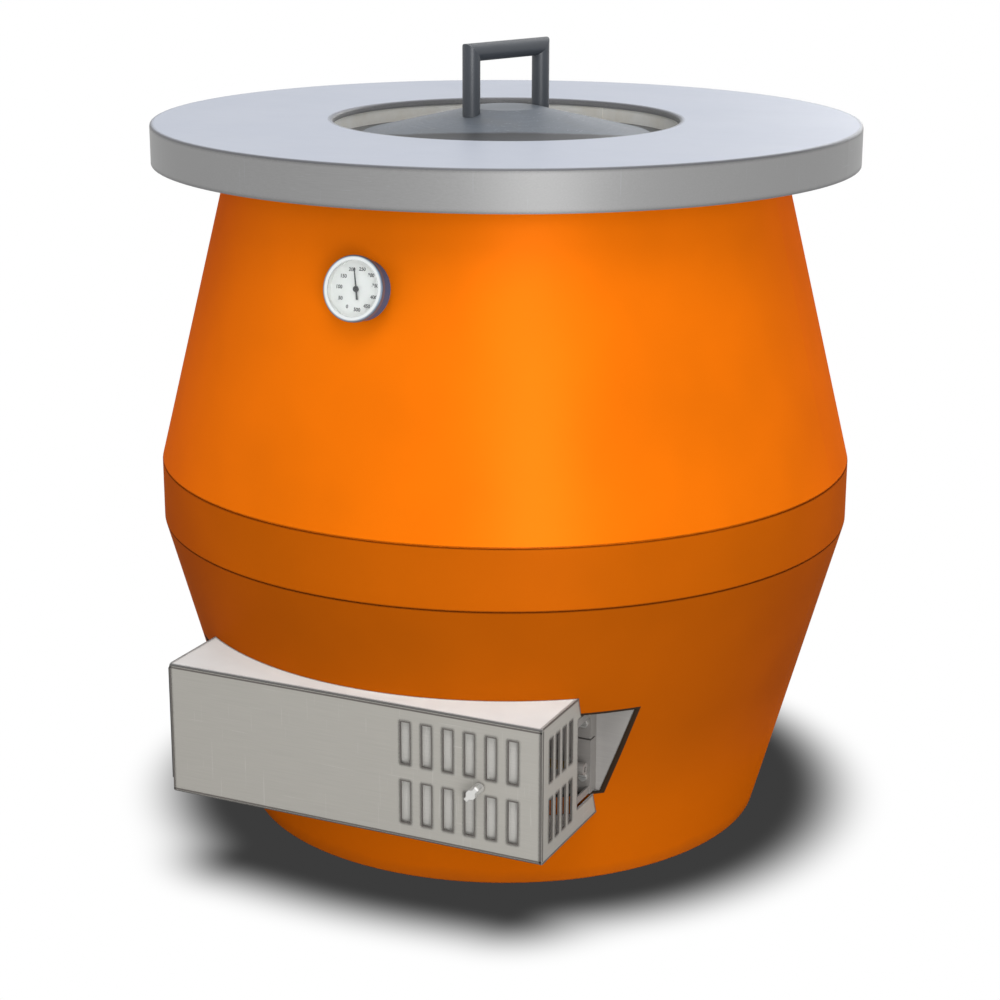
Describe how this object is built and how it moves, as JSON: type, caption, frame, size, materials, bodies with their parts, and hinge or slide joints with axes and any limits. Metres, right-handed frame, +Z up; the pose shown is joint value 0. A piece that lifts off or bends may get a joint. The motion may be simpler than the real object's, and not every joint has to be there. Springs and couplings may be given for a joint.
{
  "type": "tandoor oven",
  "caption": "Round gas clay tandoor with conical sheet body, steel worktop, lift off lid, dial thermometer and slotted burner guard.",
  "frame": {"origin": "on the floor, under the middle of the pot", "axes": "+Z up along the pot's axis, -Y towards the burner guard and the thermometer, +X to the gas inlet's side"},
  "size_m": [0.8, 0.815, 0.8883],
  "materials": {
    "orange_paint": "gloss",
    "stainless": "brushed",
    "guard_stainless": "satin",
    "collar_steel": "heat dulled",
    "lid_steel": "satin",
    "dark_steel": "satin",
    "handle_steel": "satin",
    "plain_steel": "plain",
    "burner_iron": "rough",
    "clay": "fired",
    "board": "pressed",
    "firebrick": "rough",
    "wool": "loose",
    "brass": "machined",
    "bright_steel": "polished",
    "case_blue_grey": "satin",
    "dial_white": "matt",
    "needle_black": "matt",
    "lens": "clear"
  },
  "bodies": {
    "oven": {"base_plate": "plain_steel", "base_screws": "bright_steel", "lower_shell": "orange_paint", "belt_band": "orange_paint", "upper_shell": "orange_paint", "worktop": "stainless", "mouth_lip": "stainless", "worktop_ring": "plain_steel", "worktop_board": "board", "worktop_bolts": "bright_steel", "worktop_nuts": "bright_steel", "mouth_collar": "collar_steel", "lid_ledge": "dark_steel", "rim_gasket": "wool", "clay_pot": "clay", "base_board": "board", "hearth_slab": "firebrick", "lower_insulation": "wool", "upper_insulation": "wool", "burner_recess": "plain_steel", "recess_screws": "bright_steel", "port_sleeve": "plain_steel", "port_plate": "dark_steel", "guard_wrap": "guard_stainless", "guard_end_right": "guard_stainless", "guard_end_left": "guard_stainless", "guard_bracket_right": "plain_steel", "guard_bracket_left": "plain_steel", "bracket_screws": "bright_steel", "baffle": "guard_stainless", "end_cover": "dark_steel", "cover_screws": "bright_steel", "tap_body": "brass", "tap_nut": "bright_steel", "inlet_pipe": "brass", "inlet_nut": "bright_steel", "inlet_nipple": "brass", "supply_pipe": "brass", "injector_holder": "brass", "injector_jet": "brass", "mixer_tube": "burner_iron", "burner_head": "burner_iron", "burner_cap": "burner_iron", "heat_deflector": "burner_iron", "thermocouple": "bright_steel", "gauge_case": "case_blue_grey", "gauge_bezel": "bright_steel", "gauge_lens": "lens", "gauge_dial": "dial_white", "gauge_stem": "plain_steel", "gauge_nut": "bright_steel"},
    "lid": {"lid_shell": "lid_steel", "lid_pan": "lid_steel", "lid_insulation": "wool", "lid_handle": "handle_steel", "lid_nuts": "bright_steel"},
    "needle": {"gauge_needle": "needle_black", "gauge_shaft": "bright_steel"},
    "tap": {"tap_spindle": "bright_steel", "tap_knob": "bright_steel"}
  },
  "joints": [
    {"name": "lid_lift", "type": "slide", "parent": "oven", "child": "lid", "axis": [0, 0, 1], "range_m": [0, 0.25]},
    {"name": "needle_turn", "type": "hinge", "parent": "oven", "child": "needle", "pos_m": [0, -0.33843, 0.664], "axis": [0, -0.9703, 0.2419], "range_deg": [-187, 140], "stiffness_Nm_per_rad": 0.002},
    {"name": "tap_turn", "type": "hinge", "parent": "oven", "child": "tap", "pos_m": [0.1532, -0.392, 0.1655], "axis": [0, -1, 0], "range_deg": [0, 90]}
  ]
}
